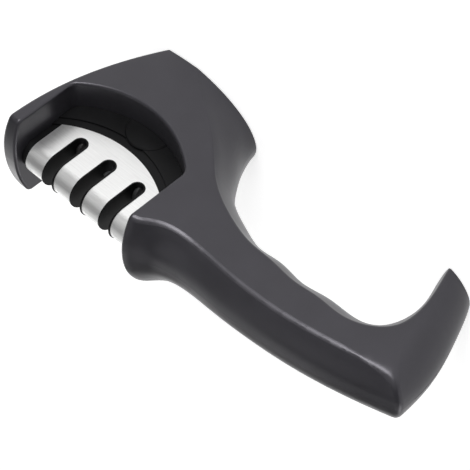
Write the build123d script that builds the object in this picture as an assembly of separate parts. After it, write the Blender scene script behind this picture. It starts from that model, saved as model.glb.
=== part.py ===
from build123d import *
import math
import os

# A hand held pull through knife sharpener: a moulded body in two half shells with a hooded head, a handle
# and a hook that stands on the table, and in the head a cartridge with three sharpening stages under a
# steel saddle cover. X runs from the hook to the head, Y to the left side, Z up from the table. Outlines
# are laid out by the distance back from the front of the hood, because the pieces follow each other so.

# Body
total_length = 204.2
height = 77.9
base_half_width = 23.5
head_half_width = 22.0
handle_half_width = 15.0
hook_half_width = 13.7
hood_wall = 8.0
hood_lean = 20.6
hood_bow = 2.3
foot_clearance = 0.5
grip_round = 3.0
hood_round = 1.4
lower_round = 1.2
lip_round = 1.2
seam_width = 0.3
seam_depth = 0.6

# Window and cartridge
slot_pitch = 17.0
front_margin = 17.1
rear_margin = 15.4
window_radius = 52.0
window_floor = 29.0
window_corner = 5.0
cartridge_gap = 0.15
ledge_drop = 4.0
ledge_width = 0.8
boss_radius = 10.8
boss_height = 0.7
boss_round = 0.5
foot_length = 36.0
foot_half_width = 7.6

# Steel cover
cover_gauge = 0.8
cover_radius = 8.0
cover_crest = 72.7
cover_front_gap = 3.5
cover_strip = 8.0
cover_gap = 0.05
slot_width = 7.0
slot_end_height = 53.8
rim_gap = 0.1
rim_thickness = 0.6
rim_proud = 0.35

# Base
base_rim = 3.0
pad_thickness = 2.4
pad_gap = 0.3
plate_thickness = 2.0
plate_gap = 0.15
base_screw_radius = 1.5
base_screw_head = 2.7
base_screw_sink = 1.3
base_screw_length = 11.0

# Sharpening wheels
wheel_radius = 5.8
wheel_drop = 5.2
wheel_root_radius = 2.5
wheel_half_angle = 20.0
wheel_gap = 0.2
wheel_width = 3.5
wheel_chamfer = 0.3
chamber_clearance = 0.5
axle_radius = 1.0
axle_seat = 3.0
bush_wall = 0.85
running_gap = 0.05
fit_gap = 0.03
washer_thickness = 0.4
washer_width = 1.9
end_play = 0.1

# Carbide blades
blade_thickness = 1.5
blade_width = 4.4
blade_length = 14.0
blade_half_angle = 20.0
blade_root_drop = 2.5
blade_sink = 3.0
blade_gap = 0.1
dowel_radius = 1.1
dowel_seat = 2.5

# Cartridge screws
clamp_screw_radius = 1.2
clamp_screw_head = 2.2
clamp_screw_head_height = 1.4
clamp_screw_length = 11.0
clamp_screw_recess = 0.6

# Cross recess of every screw
driver_width = 0.6
driver_depth = 0.8

# Walls inside the half shells
shell_wall = 2.8
cell_count = 5
rib_thickness = 2.0
pin_radius = 1.5
pin_boss_wall = 1.6
pin_length = 3.0
pin_gap = 0.08

window_length = front_margin + 2 * slot_pitch + rear_margin
shoulder = hood_wall + window_length
tail_length = total_length - shoulder
window_middle = hood_wall + window_length / 2
cover_floor = slot_end_height - slot_width / 2 - cover_strip
slot_places = [hood_wall + front_margin + slot_pitch * number for number in range(3)]
plate_top = pad_thickness + plate_thickness
wheel_height = slot_end_height - wheel_drop
chamber_half = wheel_gap / 2 + wheel_width + washer_thickness + 2 * end_play
blade_root = slot_end_height - blade_root_drop
dowel_height = blade_root - blade_width / 2 / math.sin(math.radians(blade_half_angle))
overrun = 2 * base_half_width


def x_at(back):
    """The X of a place that lies this far behind the front of the hood."""
    return total_length / 2 - back


def place(share):
    """Distance back from the hood: up to 1 in shares of the head, above 1 in shares of the tail."""
    if share <= 1:
        return shoulder * share
    return shoulder + tail_length * (share - 1)


def read_shares(rows, share, column):
    """One column of a table of shares, on straight lines between its rows."""
    for low, high in zip(rows, rows[1:]):
        if share <= high[0]:
            part = (share - low[0]) / (high[0] - low[0])
            return low[column] + (high[column] - low[column]) * part
    return rows[-1][column]


# Half width of the head at its front and at its shoulder, as shares of the base half width
front_width_share = 0.943
shoulder_width_share = 0.882
# Where along the head its sides are widest, and up to which share of the height the hood leans
belly_share = 0.5
lean_top_share = 0.9
# Half width of the neck and the handle: share of the way, share of the handle's half width
neck_width_shares = ((1.135, 1.153), (1.29, 1.035), (1.58, 0.99))
# Crown of the body along its middle: share of the way, share of the height, drop to its edges
crown_shares = (
    (-0.08, 0.960, 0.056),
    (0.10, 0.965, 0.059),
    (0.40, 0.976, 0.064),
    (0.69, 0.988, 0.069),
    (0.94, 1.000, 0.075),
    (1.02, 0.996, 0.082),
    (1.07, 0.950, 0.098),
    (1.13, 0.912, 0.110),
    (1.20, 0.896, 0.110),
    (1.31, 0.896, 0.101),
    (1.44, 0.891, 0.095),
    (1.58, 0.873, 0.090),
    (1.74, 0.833, 0.090),
    (1.88, 0.778, 0.087),
    (1.99, 0.724, 0.082),
    (2.06, 0.688, 0.080),
)
crown_power = 2.2
# End of the hook seen from the side: share of the height, share of the length, depth of its round end
end_shares = (
    (-0.03, 0.922, 1.00),
    (0.15, 0.956, 1.03),
    (0.33, 0.981, 1.05),
    (0.50, 0.9965, 0.95),
    (0.68, 1.000, 0.72),
    (0.86, 0.998, 0.62),
    (1.06, 0.994, 0.60),
)
end_arc_angle = 76.0
flank_parts = (1, 0.5)
# Distances from the middle plane at which the crown is laid out, as shares of the base half width
crown_side_shares = (0.0, 0.22, 0.44, 0.66, 0.86, 1.06)
# What picks the edges of the body that are rounded: shares of the length and of the height
handle_share = 0.5
hook_share = 0.4
upper_share = 0.6
hook_edge_share = 0.3
# The seam that shows at the end of the hook: from and to, as shares of the height
seam_shares = (0.28, 0.44, 0.61)
# Hand space under the handle, at six distances from the middle plane given as shares of the base half
# width. Each row holds the share of the way and the share of the height of one point of the outline.
hand_space_width_shares = (0.0, 0.371, 0.638, 0.852, 0.978, 1.07)
hand_space_shares = (
    ((0.984, -0.08), (0.944, -0.08), (0.848, -0.08), (0.695, -0.08), (0.545, -0.08), (0.370, -0.08)),
    ((0.988, 0.0), (0.948, 0.0), (0.862, 0.0), (0.730, 0.0), (0.584, 0.0), (0.420, 0.0)),
    ((1.010, 0.115), (0.990, 0.115), (0.930, 0.122), (0.848, 0.147), (0.742, 0.147), (0.632, 0.173)),
    ((1.050, 0.237), (1.036, 0.241), (1.012, 0.256), (0.980, 0.286), (0.913, 0.311), (0.859, 0.346)),
    ((1.123, 0.378), (1.112, 0.388), (1.089, 0.413), (1.066, 0.442), (1.042, 0.481), (1.027, 0.519)),
    ((1.227, 0.456), (1.220, 0.483), (1.208, 0.531), (1.189, 0.577), (1.173, 0.622), (1.166, 0.660)),
    ((1.328, 0.502), (1.324, 0.533), (1.316, 0.582), (1.308, 0.628), (1.305, 0.679), (1.305, 0.718)),
    ((1.409, 0.498), (1.405, 0.525), (1.405, 0.590), (1.405, 0.654), (1.405, 0.705), (1.405, 0.744)),
    ((1.505, 0.512), (1.505, 0.542), (1.505, 0.606), (1.505, 0.667), (1.505, 0.718), (1.505, 0.756)),
    ((1.598, 0.494), (1.598, 0.522), (1.598, 0.595), (1.598, 0.654), (1.598, 0.705), (1.598, 0.744)),
    ((1.683, 0.487), (1.686, 0.520), (1.694, 0.597), (1.706, 0.660), (1.713, 0.711), (1.721, 0.750)),
    ((1.752, 0.449), (1.767, 0.482), (1.784, 0.544), (1.806, 0.603), (1.829, 0.641), (1.845, 0.679)),
    ((1.798, 0.346), (1.813, 0.365), (1.844, 0.436), (1.875, 0.487), (1.898, 0.526), (1.918, 0.551)),
    ((1.806, 0.218), (1.820, 0.224), (1.853, 0.308), (1.887, 0.346), (1.914, 0.372), (1.937, 0.397)),
    ((1.786, 0.090), (1.803, 0.103), (1.839, 0.167), (1.871, 0.192), (1.894, 0.205), (1.914, 0.218)),
    ((1.767, -0.08), (1.779, -0.08), (1.796, -0.08), (1.821, -0.08), (1.844, -0.08), (1.867, -0.08)),
)


def plan_section(row):
    """The outline of the body at one height, seen from above."""
    level, end_share, depth_share = row
    lean = max(0, 1 - level / lean_top_share) ** 2 * hood_lean
    front = hood_bow + lean
    rise = min(max(level, 0), 1)
    belly = base_half_width + (head_half_width - base_half_width) * rise
    half_widths = [
        (front, front_width_share * base_half_width),
        (place(belly_share), belly),
        (shoulder, shoulder_width_share * base_half_width),
    ]
    half_widths += [(place(share), width * handle_half_width) for share, width in neck_width_shares]
    end = total_length * end_share
    bend = math.radians(end_arc_angle)
    end_half_width = hook_half_width / math.sin(bend)
    end_depth = hook_half_width * depth_share / (1 - math.cos(bend))
    centre = end - end_depth
    flank = [(x_at(centre + end_depth * math.cos(bend * part)), end_half_width * math.sin(bend * part))
             for part in flank_parts]
    right = [(x_at(back), -width) for back, width in half_widths]
    right.append((flank[0][0], -flank[0][1]))
    left = [(x, -y) for x, y in reversed(right)]
    round_end = [right[-1], (flank[1][0], -flank[1][1]), (x_at(end), 0), flank[1], left[0]]
    with BuildSketch(Plane.XY.offset(level * height)) as sketch:
        with BuildLine():
            Spline(*right)
            Spline(*round_end)
            Spline(*left)
            ThreePointArc(left[-1], (x_at(front - hood_bow), 0), right[0])
        make_face()
    return sketch.sketch


def half_width_at(share):
    """Half width of the body at mid height."""
    rows = [(0, front_width_share * base_half_width), (1, shoulder_width_share * base_half_width)]
    rows += [(at, width * handle_half_width) for at, width in neck_width_shares]
    rows.append((2, hook_half_width))
    return read_shares(rows, share, 1)


def crown_section(side):
    """The outline of the body's top, cut at this distance from the middle plane."""
    line = []
    for share, crown, edge_drop in crown_shares:
        drop = edge_drop * height * (abs(side) / half_width_at(share)) ** crown_power
        line.append((x_at(place(share)), crown * height - drop))
    with BuildSketch(Plane.XZ.offset(-side)) as sketch:
        with BuildLine():
            Spline(*line)
            Polyline(line[-1], (line[-1][0], -overrun), (line[0][0], -overrun), line[0])
        make_face()
    return sketch.sketch


def hand_space_section(column, side):
    """The outline of the space under the handle, cut at this distance from the middle plane."""
    line = [(x_at(place(row[column][0])), row[column][1] * height) for row in hand_space_shares]
    with BuildSketch(Plane.XZ.offset(-side)) as sketch:
        with BuildLine():
            Spline(*line)
            Line(line[-1], line[0])
        make_face()
    return sketch.sketch


def mirrored_sides(side_shares):
    """Distances from the middle plane on both sides, from right to left, each with its column."""
    sides = [(column, share * base_half_width) for column, share in enumerate(side_shares)]
    return [(column, -side) for column, side in reversed(sides) if side > 0] + sides


def block(front, rear, half_width, low, high):
    """A plain block between two places and two heights, as wide to the right as to the left."""
    shape = Box(rear - front, 2 * half_width, high - low)
    return Pos(x_at((front + rear) / 2), 0, (low + high) / 2) * shape


def is_grip_edge(edge):
    """True for an edge along the top of the body or around the end of the hook."""
    box = edge.bounding_box()
    middle = edge.center()
    at_hook = middle.X < -hook_share * total_length
    along_top = middle.Z > upper_share * height and box.size.X > handle_share * total_length
    over_hook = at_hook and middle.Z > handle_share * height and box.size.Y > hook_half_width
    up_hook = at_hook and box.size.Z > hook_edge_share * height and box.size.Y < grip_round
    return along_top or over_hook or up_hook


def is_lower_edge(edge):
    """True for an edge between a side of the body and the space under the handle."""
    box = edge.bounding_box()
    long = box.size.X > handle_share * total_length
    return long and edge.center().Z < upper_share * height and box.min.Z < base_rim


def outer_form():
    """The body as one solid with its soft edges, before it is opened and split."""
    plan = loft([plan_section(row) for row in end_shares])
    crown = loft([crown_section(side) for column, side in mirrored_sides(crown_side_shares)])
    hand_space = loft([
        hand_space_section(column, side) for column, side in mirrored_sides(hand_space_width_shares)
    ])
    form = plan & crown
    form -= hand_space
    form -= block(-overrun, total_length + overrun, overrun, -overrun, 0)
    form -= block(-overrun, 2 * shoulder, overrun, -overrun, foot_clearance)
    form = form.solids().sort_by(SortBy.VOLUME)[-1]
    form = fillet([edge for edge in form.edges() if is_grip_edge(edge)], grip_round)
    hood_face = max([face for face in form.faces() if face.center().X > x_at(hood_lean)],
                    key=lambda face: face.bounding_box().size.Z)
    form = fillet([edge for edge in hood_face.edges() if edge.center().Z > foot_clearance * 2], hood_round)
    return fillet([edge for edge in form.edges() if is_lower_edge(edge)], lower_round)


def along_y(half_width, *faces):
    """Solids from outlines in the middle plane, drawn out to both sides."""
    return extrude(Sketch() + list(faces), half_width, both=True)


def bore_y(back, level, radius, low, high):
    """A round pin or hole that runs across the body."""
    shape = Cylinder(radius, high - low, rotation=(90, 0, 0))
    return Pos(x_at(back), (low + high) / 2, level) * shape


def bore_x(back, level, radius, low, high):
    """A round pin or hole that runs along the body, from low to high in front of this place."""
    shape = Cylinder(radius, high - low, rotation=(0, 90, 0))
    return Pos(x_at(back) + (low + high) / 2, 0, level) * shape


def arc_level(lowest, back):
    """Height of the long arc that the window floor and the cover's lower edge follow."""
    away = abs(back - window_middle)
    return lowest + window_radius - math.sqrt(window_radius ** 2 - away ** 2)


def above_arc(lowest, front, rear, corner=0):
    """Outline of everything over the long arc between two places, in the middle plane."""
    top = height + overrun
    with BuildSketch(Plane.XZ) as sketch:
        with BuildLine():
            ends = [(x_at(back), arc_level(lowest, back)) for back in (front, rear)]
            ThreePointArc(ends[0], (x_at(window_middle), lowest), ends[1])
            Polyline(ends[1], (ends[1][0], top), (ends[0][0], top), ends[0])
        make_face()
        if corner:
            low_corners = sketch.vertices().sort_by(Axis.Y)[:2]
            fillet(low_corners, corner)
    return sketch.sketch


def slot_outline(back, radius):
    """Outline of a slot that is open at the top, with a round lower end."""
    top = height + overrun
    centre = (x_at(back), slot_end_height)
    with BuildSketch(Plane.XZ) as sketch:
        with Locations(centre):
            Circle(radius)
        with Locations((centre[0], (slot_end_height + top) / 2)):
            Rectangle(2 * radius, top - slot_end_height)
    return sketch.sketch


def saddle(radius, front, rear):
    """A bar with a half round top, as wide as two radii, whose crest follows the cover's."""
    axis_height = cover_crest - cover_radius
    with BuildSketch(Plane.YZ.offset(x_at(rear))) as sketch:
        with Locations((0, axis_height)):
            Circle(radius)
        with Locations((0, axis_height / 2)):
            Rectangle(2 * radius, axis_height)
    return extrude(sketch.sketch, rear - front)


def base_face(form):
    """The flat underside of the head."""
    flats = [face for face in form.faces() if abs(face.center().Z - foot_clearance) < foot_clearance / 2]
    return max(flats, key=lambda face: face.area)


def base_disc(form, inset, low, high):
    """A plate with the outline of the head's underside, drawn in by an inset."""
    outline = offset(base_face(form), -inset, kind=Kind.INTERSECTION).face().to_splines()
    return Pos(0, 0, low - foot_clearance) * extrude(outline, high - low, dir=(0, 0, 1))


# Screws of the base plate and pins between the half shells, as shares of the way and of a height or width
base_screw_shares = ((0.41, 0.69), (0.735, 0.53))
pin_shares = ((0.075, 0.70), (0.22, 0.32), (1.895, 0.20))
# Hollows in the head beside the cartridge: from and to along the head, and across its half width
side_hollow_shares = (0.47, 0.67, 0.50, 0.80)
side_hollow_height_share = 0.33
# Hollows of the handle: where they begin and end
cell_span_shares = (1.145, 1.82)
# Screws that clamp the cartridge: share of the way and share of the height
clamp_shares = ((0.41, 0.18), (0.71, 0.18), (0.554, 0.365))


def cells():
    """The hollows of the handle between its ribs, and the places of the locating pins on the ribs."""
    first, last = [place(share) for share in cell_span_shares]
    pitch = (last - first + rib_thickness) / cell_count
    under_handle = [row[0] for row in hand_space_shares if row[0][1] > side_hollow_height_share]
    hollows = []
    bosses = []
    for number in range(cell_count):
        start = first + pitch * number
        stop = start + pitch - rib_thickness
        shares = [1 + (back - shoulder) / tail_length for back in (start, stop)]
        low = max(read_shares(under_handle, share, 1) for share in shares) * height + shell_wall
        high = min(read_shares(crown_shares, share, 1) for share in shares) * height - shell_wall
        wide = half_width_at(shares[1]) - shell_wall
        with BuildSketch(Plane.YZ.offset(x_at(stop))) as sketch:
            with Locations((0, (low + high) / 2)):
                Ellipse(wide, (high - low) / 2)
        hollows.append(extrude(sketch.sketch, stop - start))
        if number:
            bosses.append((start - rib_thickness / 2, (low + high) / 2))
    return hollows, bosses


def is_lip(edge):
    """True for an edge where the window breaks through a side or the top of the body."""
    box = edge.bounding_box()
    inside = box.min.X > x_at(shoulder) - cartridge_gap and box.max.X < x_at(hood_wall) + cartridge_gap
    at_side = max(abs(box.min.Y), abs(box.max.Y)) > handle_half_width
    across = box.size.Y > base_half_width and box.size.Z < lip_round
    return inside and at_side and not across and box.max.Z > window_floor


def shell_halves(form):
    """The two half shells with their window, their hollows and the pins that locate them."""
    shell = form - along_y(overrun, above_arc(window_floor, hood_wall, shoulder, window_corner))
    shell = fillet([edge for edge in shell.edges() if is_lip(edge)], lip_round)
    shell -= base_disc(form, base_rim, -overrun, plate_top)
    shell -= cartridge_foot(cartridge_gap, plate_top)
    front, rear = [place(share) for share in side_hollow_shares[:2]]
    inner, outer = [share * base_half_width for share in side_hollow_shares[2:]]
    tall = side_hollow_height_share * height
    shell -= block(front, rear, outer, plate_top, tall) - block(front, rear, inner, plate_top, tall)
    hollows, bosses = cells()
    pins = [(place(share), level * height) for share, level in pin_shares] + bosses
    for hollow in hollows:
        for back, level in bosses:
            hollow -= bore_y(back, level, pin_radius + pin_boss_wall, -overrun, overrun)
        shell -= hollow
    for side in (1, -1):
        for back, across in base_screw_places():
            shell -= Pos(x_at(back), side * across, 0) * base_screw_body(fit_gap)
    shell -= seam_groove()
    half = block(-overrun, total_length + overrun, overrun, -overrun, height + overrun)
    right = shell & Pos(0, -overrun, 0) * half
    left = mirror(right, about=Plane.XZ)
    for back, level in pins:
        right += bore_y(back, level, pin_radius, -pin_length, pin_length)
        left -= bore_y(back, level, pin_radius + pin_gap, -pin_length, pin_length + pin_gap)
    return right, left


def seam_groove():
    """The thin groove that the seam of the shells leaves at the end of the hook."""
    line = [(x_at(total_length * read_shares(end_shares, share, 1)) + seam_depth, share * height)
            for share in seam_shares]
    behind = x_at(total_length) - seam_depth
    with BuildSketch(Plane.XZ) as sketch:
        with BuildLine():
            Spline(*line)
            Polyline(line[-1], (behind, line[-1][1]), (behind, line[0][1]), line[0])
        make_face()
    return along_y(seam_width / 2, sketch.sketch)


def base_screw_places():
    """The screws of the base plate on one side: distance back and distance from the middle."""
    return [(place(share), across * base_half_width) for share, across in base_screw_shares]


def base_screw_body(gap):
    """A countersunk screw that stands head down, or with a gap the hole that it needs."""
    head = Cone(base_screw_head + gap, base_screw_radius + gap, base_screw_sink)
    shank = Cylinder(base_screw_radius + gap, base_screw_length + gap)
    head = Pos(0, 0, pad_thickness + base_screw_sink / 2) * head
    return head + Pos(0, 0, pad_thickness + (base_screw_length + gap) / 2) * shank


def driver_cross(radius):
    """The cross recess in the head of a screw, centred on the face of the head."""
    bar = Box(2 * radius, driver_width, 2 * driver_depth)
    return bar + Rot(0, 0, 90) * bar


def base_pieces(form):
    """The plate that ties the half shells together, its screws and the pad that covers them."""
    plate = base_disc(form, base_rim + plate_gap, pad_thickness, plate_top)
    screws = []
    for side in (1, -1):
        for back, across in base_screw_places():
            here = Pos(x_at(back), side * across, 0)
            plate -= here * base_screw_body(fit_gap)
            cross = Pos(0, 0, pad_thickness) * driver_cross(base_screw_radius)
            screws.append(here * (base_screw_body(0) - cross))
    pad = base_disc(form, base_rim + pad_gap, 0, pad_thickness)
    pad = chamfer(pad.edges().group_by(Axis.Z)[0], foot_clearance / 2)
    return plate, screws, pad


def cartridge_foot(gap, low):
    """The block by which the cartridge stands on the base plate, widened by a gap."""
    half_length = foot_length / 2 + gap
    high = window_floor + window_corner
    return block(window_middle - half_length, window_middle + half_length, foot_half_width + gap, low, high)


def clamp_screw_body(gap):
    """A screw across the cartridge with its head to the left, or with a gap the hole that it needs."""
    under_head = foot_half_width - clamp_screw_recess - clamp_screw_head_height
    shank = bore_y(0, 0, clamp_screw_radius + gap, under_head - clamp_screw_length - gap, under_head)
    top = under_head + clamp_screw_head_height
    if gap:
        top = overrun
    return shank + bore_y(0, 0, clamp_screw_head + gap, under_head, top)


def blade_body(side, gap):
    """A carbide blade on one side, or with a gap the pocket that it needs; side is 1 on the left."""
    lean = -side * blade_half_angle
    thickness = blade_thickness + gap
    shape = Box(blade_width + 2 * gap, thickness, blade_length + 2 * gap)
    shape = Pos(-side * blade_width / 2, 0, -blade_sink) * shape
    shape = Pos(0, side * (blade_gap + thickness / 2), blade_root) * Rot(0, lean, 0) * shape
    return Pos(x_at(slot_places[1]), 0, 0) * shape


def cartridge_halves():
    """The two halves of the sharpening cartridge with their guide notches and the seats inside."""
    front, rear = hood_wall + cartridge_gap, shoulder - cartridge_gap
    low, corner = window_floor + cartridge_gap, window_corner - cartridge_gap
    room = above_arc(low, front, rear, corner)
    over_band = above_arc(cover_floor - cover_gap, hood_wall, shoulder)
    over_ledge = above_arc(cover_floor - ledge_drop, hood_wall, shoulder)
    core = saddle(cover_radius - cover_gauge - cover_gap, front, rear)
    band = along_y(cover_radius, room) - along_y(overrun, over_band)
    ledge = along_y(cover_radius + ledge_width, room) - along_y(overrun, over_ledge)
    boss_reach = cover_radius + ledge_width + boss_height
    boss = bore_y(window_middle, window_floor, boss_radius, -boss_reach, boss_reach)
    boss = chamfer(boss.edges().filter_by(GeomType.CIRCLE), boss_round)
    body = (core + band + ledge + boss) & along_y(overrun, room)
    body += cartridge_foot(0, plate_top)
    rim_reach = saddle(cover_radius + rim_proud, front, rear)
    hole_radius = slot_width / 2 - rim_gap - rim_thickness
    for back in slot_places:
        body += along_y(overrun, slot_outline(back, slot_width / 2 - rim_gap)) & rim_reach
        body -= along_y(overrun, slot_outline(back, hole_radius))
    for back in (slot_places[0], slot_places[2]):
        chamber = wheel_radius + chamber_clearance
        seat = chamber_half + axle_seat
        body -= bore_x(back, wheel_height, chamber, -chamber_half, chamber_half)
        body -= bore_x(back, wheel_height, axle_radius + fit_gap, -seat, seat)
    seat = blade_gap + blade_thickness + dowel_seat
    body -= bore_y(slot_places[1], dowel_height, dowel_radius + fit_gap, -seat, seat)
    for share, level in clamp_shares:
        body -= Pos(x_at(place(share)) - x_at(0), 0, level * height) * clamp_screw_body(fit_gap)
    half = block(-overrun, total_length, overrun, -overrun, height + overrun)
    right = (body & Pos(0, -overrun, 0) * half) - blade_body(-1, blade_gap)
    left = (body & Pos(0, overrun, 0) * half) - blade_body(1, blade_gap)
    return right, left


def clamp_screws():
    """The screws that hold the cartridge halves together."""
    screws = []
    face = foot_half_width - clamp_screw_recess
    cross = Pos(x_at(0), face, 0) * Rot(90, 0, 0) * driver_cross(clamp_screw_radius)
    for share, level in clamp_shares:
        screw = clamp_screw_body(0) - cross
        screws.append(Pos(x_at(place(share)) - x_at(0), 0, level * height) * screw)
    return screws


def steel_cover():
    """The bent steel saddle with three slots that run over its crest."""
    front, rear = hood_wall + cover_front_gap, shoulder - cartridge_gap
    cover = saddle(cover_radius, front, rear) - saddle(cover_radius - cover_gauge, front, rear)
    cover &= along_y(overrun, above_arc(cover_floor, front, rear))
    for back in slot_places:
        cover -= along_y(overrun, slot_outline(back, slot_width / 2))
    return cover


def turned(back, points):
    """A ring turned about a wheel axle from an outline of distances along it and radii."""
    with BuildSketch(Plane.XZ) as sketch:
        with BuildLine():
            Polyline(*points, close=True)
        make_face()
    ring = revolve(sketch.sketch, Axis.X)
    return Pos(x_at(back), 0, wheel_height) * ring


def wheel(back, side):
    """One conical wheel; side is 1 towards the hood."""
    bore = axle_radius + running_gap + bush_wall + fit_gap
    inner = wheel_gap / 2
    outer = inner + wheel_width
    slope = (wheel_radius - wheel_root_radius) * math.tan(math.radians(wheel_half_angle))
    points = [
        (inner, bore),
        (inner, wheel_root_radius),
        (inner + slope, wheel_radius),
        (outer - wheel_chamfer, wheel_radius),
        (outer, wheel_radius - wheel_chamfer),
        (outer, bore),
    ]
    return turned(back, [(side * along, radius) for along, radius in points])


def tube(back, low, high, inner, outer):
    """A plain ring about a wheel axle between two distances along it."""
    return turned(back, [(low, inner), (high, inner), (high, outer), (low, outer)])


def wheel_stage(name, back):
    """The pieces of one stage with turning wheels, by the names of their nodes."""
    bore = axle_radius + running_gap
    half = wheel_gap / 2 + wheel_width
    washers = [tube(back, side * (half + end_play), side * (half + end_play + washer_thickness),
                    bore, bore + washer_width) for side in (1, -1)]
    reach = chamber_half + axle_seat - fit_gap
    return {
        name + "_wheel_front": [wheel(back, 1)],
        name + "_wheel_rear": [wheel(back, -1)],
        name + "_wheel_bush": [tube(back, -half, half, bore, bore + bush_wall)],
        name + "_wheel_axle": [bore_x(back, wheel_height, axle_radius, -reach, reach)],
        name + "_wheel_washers": washers,
    }


def carbide_stage():
    """The two crossed blades of the middle stage and the pin through both."""
    back = slot_places[1]
    hole = bore_y(back, dowel_height, dowel_radius + fit_gap, -overrun, overrun)
    reach = blade_gap + blade_thickness + dowel_seat - fit_gap
    return {
        "carbide_blade_right": [blade_body(-1, 0) - hole],
        "carbide_blade_left": [blade_body(1, 0) - hole],
        "carbide_pin": [bore_y(back, dowel_height, dowel_radius, -reach, reach)],
    }


def all_pieces():
    """Every piece by the name of its node, each as a list of solids."""
    form = outer_form()
    right_shell, left_shell = shell_halves(form)
    plate, base_screws, pad = base_pieces(form)
    right_cartridge, left_cartridge = cartridge_halves()
    pieces = {
        "right_body_shell": [right_shell],
        "left_body_shell": [left_shell],
        "base_plate": [plate],
        "base_plate_screws": base_screws,
        "base_pad": [pad],
        "cartridge_right_half": [right_cartridge],
        "cartridge_left_half": [left_cartridge],
        "cartridge_screws": clamp_screws(),
        "steel_cover": [steel_cover()],
    }
    pieces.update(wheel_stage("coarse", slot_places[0]))
    pieces.update(carbide_stage())
    pieces.update(wheel_stage("fine", slot_places[2]))
    return pieces


os.makedirs("parts", exist_ok=True)
for name, shapes in all_pieces().items():
    solids = [solid for shape in shapes for solid in shape.solids()]
    print(name, len(shapes), len(solids), all(solid.is_valid for solid in solids))
    group = Compound(solids) if len(solids) > 1 else solids[0]
    group.label = name
    export_step(group, "parts/" + name + ".step")
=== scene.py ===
import math

import bmesh
import bpy
from mathutils import Matrix, Vector

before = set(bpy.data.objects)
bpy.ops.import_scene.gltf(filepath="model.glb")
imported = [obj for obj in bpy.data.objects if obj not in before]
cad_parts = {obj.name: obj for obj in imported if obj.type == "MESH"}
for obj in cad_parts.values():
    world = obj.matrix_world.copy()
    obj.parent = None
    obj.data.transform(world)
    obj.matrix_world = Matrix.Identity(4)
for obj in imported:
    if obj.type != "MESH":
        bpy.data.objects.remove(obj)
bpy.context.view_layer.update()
scene = bpy.context.scene
MM = 0.001


# Small helpers for node materials

# The part of its range that a noise really fills
NOISE_RANGE = (0.3, 0.7)


def new_material(name, roughness=0.5, metallic=0.0, ior=1.5):
    """A node material, with its tree and its shader to build on."""
    material = bpy.data.materials.new(name)
    material.use_nodes = True
    tree = material.node_tree
    tree.nodes.clear()
    output = tree.nodes.new("ShaderNodeOutputMaterial")
    shader = tree.nodes.new("ShaderNodeBsdfPrincipled")
    shader.inputs["Roughness"].default_value = roughness
    shader.inputs["Metallic"].default_value = metallic
    shader.inputs["IOR"].default_value = ior
    tree.links.new(shader.outputs["BSDF"], output.inputs["Surface"])
    return material, tree, shader


def object_point(tree, stretch=(1, 1, 1)):
    """The place on the object in metres. A small stretch draws a pattern out along that axis."""
    where = tree.nodes.new("ShaderNodeTexCoord")
    mapping = tree.nodes.new("ShaderNodeMapping")
    mapping.inputs["Scale"].default_value = stretch
    tree.links.new(where.outputs["Object"], mapping.inputs["Vector"])
    return mapping.outputs["Vector"]


def noise(tree, point, grain, detail=2.0, coarseness=0.5):
    """Noise whose grains are this long, in metres."""
    node = tree.nodes.new("ShaderNodeTexNoise")
    node.inputs["Scale"].default_value = 1 / grain
    node.inputs["Detail"].default_value = detail
    node.inputs["Roughness"].default_value = coarseness
    tree.links.new(point, node.inputs["Vector"])
    return node.outputs["Fac"]


def cells(tree, point, pitch, randomness=1.0):
    """Distance to the middle of the nearest cell, with cells this far apart in metres."""
    node = tree.nodes.new("ShaderNodeTexVoronoi")
    node.inputs["Scale"].default_value = 1 / pitch
    node.inputs["Randomness"].default_value = randomness
    tree.links.new(point, node.inputs["Vector"])
    return node.outputs["Distance"]


def spread(tree, value, low, high, within=NOISE_RANGE):
    """A value moved from the range that it fills to another range."""
    node = tree.nodes.new("ShaderNodeMapRange")
    node.inputs["From Min"].default_value = within[0]
    node.inputs["From Max"].default_value = within[1]
    node.inputs["To Min"].default_value = low
    node.inputs["To Max"].default_value = high
    tree.links.new(value, node.inputs["Value"])
    return node.outputs["Result"]


def colour_between(tree, shader, value, first, last, within=NOISE_RANGE):
    """Base colour that goes from one tone to another with a value."""
    node = tree.nodes.new("ShaderNodeMix")
    node.data_type = "RGBA"
    node.inputs["A"].default_value = (*first, 1)
    node.inputs["B"].default_value = (*last, 1)
    tree.links.new(spread(tree, value, 0, 1, within), node.inputs["Factor"])
    tree.links.new(node.outputs["Result"], shader.inputs["Base Color"])


def gloss_between(tree, shader, value, glossy, dull, within=NOISE_RANGE):
    """Roughness that goes from glossy to dull with a value."""
    tree.links.new(spread(tree, value, glossy, dull, within), shader.inputs["Roughness"])


def relief(tree, shader, *layers):
    """Small relief from layers of a height value and its depth in metres."""
    below = None
    for height, depth in layers:
        node = tree.nodes.new("ShaderNodeBump")
        node.inputs["Distance"].default_value = depth
        tree.links.new(height, node.inputs["Height"])
        if below:
            tree.links.new(below, node.inputs["Normal"])
        below = node.outputs["Normal"]
    tree.links.new(below, shader.inputs["Normal"])


# Finishes

def moulded_plastic(name, dark, light, roughness, grain_depth, sheen=0.5, tint=(1, 1, 1)):
    """Moulded plastic with a fine spark-eroded grain and wide faint clouds of tone and gloss."""
    tone_cloud = 14 * MM
    gloss_cloud = 40 * MM
    gloss_swing = 0.04
    grain_size = 0.25 * MM
    material, tree, shader = new_material(name)
    shader.inputs["Specular IOR Level"].default_value = sheen
    shader.inputs["Specular Tint"].default_value = (*tint, 1)
    point = object_point(tree)
    colour_between(tree, shader, noise(tree, point, tone_cloud, detail=3.0), dark, light)
    gloss_between(tree, shader, noise(tree, point, gloss_cloud),
                  roughness - gloss_swing, roughness + gloss_swing)
    relief(tree, shader, (noise(tree, point, grain_size, coarseness=0.6), grain_depth))
    return material


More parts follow.
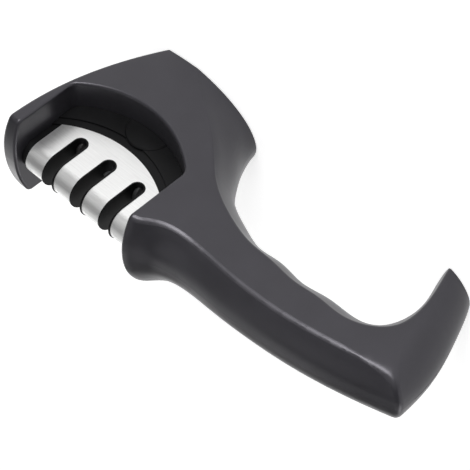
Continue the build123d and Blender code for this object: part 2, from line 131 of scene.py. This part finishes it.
def brushed_steel():
    """Stainless steel brushed along the body, with long and short strokes."""
    dark = (0.72, 0.72, 0.715)
    light = (0.82, 0.82, 0.815)
    glossy = 0.3
    dull = 0.4
    brushing = 0.6
    long_stroke = 0.5 * MM
    long_stretch = (0.03, 1, 1)
    long_depth = 0.0015 * MM
    short_stroke = 0.22 * MM
    short_stretch = (0.12, 1, 1)
    short_depth = 0.001 * MM
    material, tree, shader = new_material("brushed_steel", metallic=1.0)
    long_strokes = noise(tree, object_point(tree, long_stretch), long_stroke,
                         detail=3.0, coarseness=0.65)
    short_strokes = noise(tree, object_point(tree, short_stretch), short_stroke, coarseness=0.6)
    colour_between(tree, shader, long_strokes, dark, light)
    gloss_between(tree, shader, short_strokes, glossy, dull)
    around = tree.nodes.new("ShaderNodeTangent")
    around.direction_type = "RADIAL"
    around.axis = "X"
    tree.links.new(around.outputs["Tangent"], shader.inputs["Tangent"])
    shader.inputs["Anisotropic"].default_value = brushing
    relief(tree, shader, (long_strokes, long_depth), (short_strokes, short_depth))
    return material


def ground_steel(name, colour, roughness, stretch):
    """Turned or ground steel, with fine marks drawn out along its turning or grinding."""
    mark_size = 0.15 * MM
    mark_depth = 0.002 * MM
    mark_shade = 0.8
    gloss_cloud = 1.5 * MM
    glossier = 0.05
    duller = 0.06
    material, tree, shader = new_material(name, metallic=1.0)
    marks = noise(tree, object_point(tree, stretch), mark_size, detail=3.0, coarseness=0.6)
    colour_between(tree, shader, marks, [part * mark_shade for part in colour], colour)
    gloss_between(tree, shader, noise(tree, object_point(tree), gloss_cloud),
                  roughness - glossier, roughness + duller)
    relief(tree, shader, (marks, mark_depth))
    return material


def diamond_grit():
    """Diamond grit in nickel, with dark gaps between bright grains."""
    grain = (0.12, 0.115, 0.11)
    gap = (0.035, 0.035, 0.036)
    glossy = 0.3
    dull = 0.6
    grain_pitch = 0.16 * MM
    grain_depth = 0.03 * MM
    grain_range = (0.1, 0.6)
    material, tree, shader = new_material("diamond_grit", metallic=0.7)
    grains = cells(tree, object_point(tree), grain_pitch)
    colour_between(tree, shader, grains, grain, gap, grain_range)
    gloss_between(tree, shader, grains, glossy, dull, grain_range)
    relief(tree, shader, (grains, grain_depth))
    return material


def fine_ceramic():
    """Fine dark ceramic with small pores."""
    dark = (0.016, 0.016, 0.017)
    light = (0.034, 0.034, 0.035)
    speckle = 0.4 * MM
    pore_pitch = 0.3 * MM
    pore_depth = 0.01 * MM
    pore_range = (0.05, 0.2)
    material, tree, shader = new_material("fine_ceramic", roughness=0.5, ior=1.7)
    point = object_point(tree)
    colour_between(tree, shader, noise(tree, point, speckle, detail=4.0, coarseness=0.7), dark, light)
    pores = spread(tree, cells(tree, point, pore_pitch), 0, 1, pore_range)
    relief(tree, shader, (pores, pore_depth))
    return material


def non_slip_rubber():
    """Matt rubber with a fine pattern of round studs."""
    dark = (0.012, 0.012, 0.012)
    light = (0.022, 0.022, 0.023)
    tone_cloud = 3 * MM
    stud_pitch = 1.8 * MM
    stud_height = 0.2 * MM
    stud_range = (0.25, 0.45)
    dust_size = 0.2 * MM
    dust_depth = 0.02 * MM
    from_above = (1, 1, 0)
    material, tree, shader = new_material("non_slip_rubber", roughness=0.7)
    point = object_point(tree)
    colour_between(tree, shader, noise(tree, point, tone_cloud, detail=4.0), dark, light)
    stud_middles = cells(tree, object_point(tree, from_above), stud_pitch, randomness=0)
    studs = spread(tree, stud_middles, 1, 0, stud_range)
    dust = noise(tree, point, dust_size, detail=3.0)
    relief(tree, shader, (studs, stud_height), (dust, dust_depth))
    return material


def bearing_plastic():
    """Natural bearing plastic, off-white and waxy, with marks from turning."""
    dark = (0.60, 0.57, 0.50)
    light = (0.70, 0.68, 0.62)
    tone_cloud = 2 * MM
    mark_size = 0.12 * MM
    mark_depth = 0.004 * MM
    around_axle = (1, 0.05, 0.05)
    material, tree, shader = new_material("bearing_plastic", roughness=0.4)
    colour_between(tree, shader, noise(tree, object_point(tree), tone_cloud, detail=3.0), dark, light)
    marks = noise(tree, object_point(tree, around_axle), mark_size)
    relief(tree, shader, (marks, mark_depth))
    return material


def finish_nodes():
    """A finish for every CAD node."""
    body = moulded_plastic("charcoal_plastic", dark=(0.018, 0.0175, 0.0205),
                           light=(0.022, 0.0214, 0.0252), roughness=0.335, grain_depth=0.003 * MM,
                           tint=(0.95, 0.92, 1.0))
    cartridge = moulded_plastic("black_cartridge_plastic", dark=(0.0035, 0.0035, 0.0038),
                                light=(0.006, 0.006, 0.0065), roughness=0.42, grain_depth=0.004 * MM,
                                sheen=0.12)
    base = moulded_plastic("black_base_plastic", dark=(0.012, 0.012, 0.013), light=(0.018, 0.018, 0.019),
                           roughness=0.5, grain_depth=0.012 * MM)
    screws = ground_steel("zinc_plated_steel", colour=(0.62, 0.62, 0.60), roughness=0.34,
                          stretch=(1, 1, 0.2))
    axles = ground_steel("ground_steel", colour=(0.66, 0.66, 0.65), roughness=0.34,
                         stretch=(1, 0.1, 0.1))
    carbide = ground_steel("ground_carbide", colour=(0.34, 0.35, 0.36), roughness=0.35,
                           stretch=(0.1, 1, 0.1))
    diamond = diamond_grit()
    ceramic = fine_ceramic()
    bush = bearing_plastic()
    finishes = {
        "right_body_shell": body,
        "left_body_shell": body,
        "base_plate": base,
        "base_plate_screws": screws,
        "base_pad": non_slip_rubber(),
        "cartridge_right_half": cartridge,
        "cartridge_left_half": cartridge,
        "cartridge_screws": screws,
        "steel_cover": brushed_steel(),
        "coarse_wheel_front": diamond,
        "coarse_wheel_rear": diamond,
        "coarse_wheel_bush": bush,
        "coarse_wheel_axle": axles,
        "coarse_wheel_washers": axles,
        "carbide_blade_right": carbide,
        "carbide_blade_left": carbide,
        "carbide_pin": axles,
        "fine_wheel_front": ceramic,
        "fine_wheel_rear": ceramic,
        "fine_wheel_bush": bush,
        "fine_wheel_axle": axles,
        "fine_wheel_washers": axles,
    }
    for name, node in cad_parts.items():
        node.data.materials.clear()
        node.data.materials.append(finishes[name])


finish_nodes()


# Camera, at the photograph's viewing angle

IMAGE_SIZE = 470
FOCAL_PIXELS = 2106.68
SENSOR_WIDTH = 36.0
# Place and turn, from a fit on points of the photograph
CAMERA_PLACE = Vector((-381.0, -659.5, 395.2)) * MM
CAMERA_RIGHT = Vector((-0.70526, 0.02724, -0.70842))
CAMERA_UP = Vector((0.54337, -0.62106, -0.56483))


def photograph_camera():
    """The camera at the photograph's place and turn."""
    data = bpy.data.cameras.new("camera")
    data.sensor_width = SENSOR_WIDTH
    data.lens = FOCAL_PIXELS / IMAGE_SIZE * SENSOR_WIDTH
    camera = bpy.data.objects.new("camera", data)
    scene.collection.objects.link(camera)
    turn = Matrix((CAMERA_RIGHT, CAMERA_UP, CAMERA_RIGHT.cross(CAMERA_UP))).transposed()
    camera.matrix_world = Matrix.Translation(CAMERA_PLACE) @ turn.to_4x4()
    scene.camera = camera


photograph_camera()


# Floor, with sizes in metres and angles in degrees

FLOOR_RADIUS = 6.0
FLOOR_RISE = 1.5
FLOOR_RISE_ANGLES = range(0, 91, 15)
FLOOR_SIDES = 64
FLOOR_DROP = 0.2 * MM
FLOOR_MERGE = 0.2 * MM
FLOOR_TONE = 0.8
# What is added to the lit tone in what the camera and reflections see, so that the floor is white
FLOOR_GLOW = 0.64


def floor_mesh():
    """A round floor, a hair below the object, whose edge curves up all round."""
    net = bmesh.new()
    profile = [net.verts.new((0, 0, -FLOOR_DROP))]
    for angle in FLOOR_RISE_ANGLES:
        lean = math.radians(angle)
        radius = FLOOR_RADIUS + FLOOR_RISE * math.sin(lean)
        profile.append(net.verts.new((radius, 0, FLOOR_RISE * (1 - math.cos(lean)) - FLOOR_DROP)))
    edges = [net.edges.new(pair) for pair in zip(profile, profile[1:])]
    bmesh.ops.spin(net, geom=profile + edges, cent=(0, 0, 0), axis=(0, 0, 1), angle=2 * math.pi,
                   steps=FLOOR_SIDES, use_merge=True)
    bmesh.ops.remove_doubles(net, verts=net.verts, dist=FLOOR_MERGE)
    bmesh.ops.recalc_face_normals(net, faces=net.faces)
    for face in net.faces:
        face.smooth = True
    mesh = bpy.data.meshes.new("floor")
    net.to_mesh(mesh)
    net.free()
    return mesh


def seen_directly(tree, strength):
    """A strength for the camera, reflections and glass, and zero for all other light."""
    path = tree.nodes.new("ShaderNodeLightPath")
    total = path.outputs["Is Camera Ray"]
    for output in ("Is Glossy Ray", "Is Transmission Ray"):
        either = tree.nodes.new("ShaderNodeMath")
        either.operation = "MAXIMUM"
        tree.links.new(total, either.inputs[0])
        tree.links.new(path.outputs[output], either.inputs[1])
        total = either.outputs[0]
    scaled = tree.nodes.new("ShaderNodeMath")
    scaled.operation = "MULTIPLY"
    scaled.inputs[1].default_value = strength
    tree.links.new(total, scaled.inputs[0])
    return scaled.outputs[0]


def floor_material():
    """Matt pale floor that looks white and keeps the object's shadow."""
    material = bpy.data.materials.new("pale_floor")
    material.use_nodes = True
    tree = material.node_tree
    tree.nodes.clear()
    output = tree.nodes.new("ShaderNodeOutputMaterial")
    matt = tree.nodes.new("ShaderNodeBsdfDiffuse")
    matt.inputs["Color"].default_value = (FLOOR_TONE, FLOOR_TONE, FLOOR_TONE, 1)
    glow = tree.nodes.new("ShaderNodeEmission")
    both = tree.nodes.new("ShaderNodeAddShader")
    tree.links.new(seen_directly(tree, FLOOR_GLOW), glow.inputs["Strength"])
    tree.links.new(matt.outputs["BSDF"], both.inputs[0])
    tree.links.new(glow.outputs["Emission"], both.inputs[1])
    tree.links.new(both.outputs["Shader"], output.inputs["Surface"])
    return material


def pale_floor():
    """The floor under and round the object."""
    mesh = floor_mesh()
    mesh.materials.append(floor_material())
    floor = bpy.data.objects.new("floor", mesh)
    scene.collection.objects.link(floor)


pale_floor()


# Surround and lights, with sizes in metres and angles in degrees

SURROUND_GLOW = 0.16
LIGHT_TARGET = Vector((0, 0, 40)) * MM
LIGHT_DISTANCE = 1.6
LOW_ELEVATION = 12
HIGH_ELEVATION = 42
TOP_ELEVATION = 80
LOW_PANEL = (0.9, 0.5)
HIGH_PANEL = (1.0, 1.0)
# Name, direction on the floor, elevation, panel and power in watts of each light
LIGHTS = (
    ("side_light", 270, LOW_ELEVATION, LOW_PANEL, 22.0),
    ("far_low_light", 45, LOW_ELEVATION, LOW_PANEL, 2.3),
    ("back_low_light", 135, LOW_ELEVATION, LOW_PANEL, 4.4),
    ("hook_light", 180, LOW_ELEVATION, LOW_PANEL, 1.2),
    ("far_high_light", 60, HIGH_ELEVATION, HIGH_PANEL, 2.3),
    ("back_high_light", 120, HIGH_ELEVATION, HIGH_PANEL, 1.7),
    ("near_high_light", 240, HIGH_ELEVATION, HIGH_PANEL, 2.5),
    ("front_high_light", 300, HIGH_ELEVATION, HIGH_PANEL, 1.7),
    ("top_light", 0, TOP_ELEVATION, HIGH_PANEL, 1.7),
)


def surround():
    """A plain dim white surround."""
    world = bpy.data.worlds.new("surround")
    scene.world = world
    world.use_nodes = True
    background = world.node_tree.nodes["Background"]
    background.inputs["Color"].default_value = (1, 1, 1, 1)
    background.inputs["Strength"].default_value = SURROUND_GLOW


def soft_light(name, azimuth, elevation, panel, power):
    """A soft light panel that faces the object from a direction."""
    data = bpy.data.lights.new(name, "AREA")
    data.shape = "RECTANGLE"
    data.size = panel[0]
    data.size_y = panel[1]
    data.energy = power
    light = bpy.data.objects.new(name, data)
    scene.collection.objects.link(light)
    turn = math.radians(azimuth)
    rise = math.radians(elevation)
    across = math.cos(rise)
    direction = Vector((across * math.cos(turn), across * math.sin(turn), math.sin(rise)))
    light.location = LIGHT_TARGET + direction * LIGHT_DISTANCE
    light.rotation_euler = direction.to_track_quat("Z", "Y").to_euler()


surround()
for settings in LIGHTS:
    soft_light(*settings)

scene.view_settings.view_transform = "Standard"
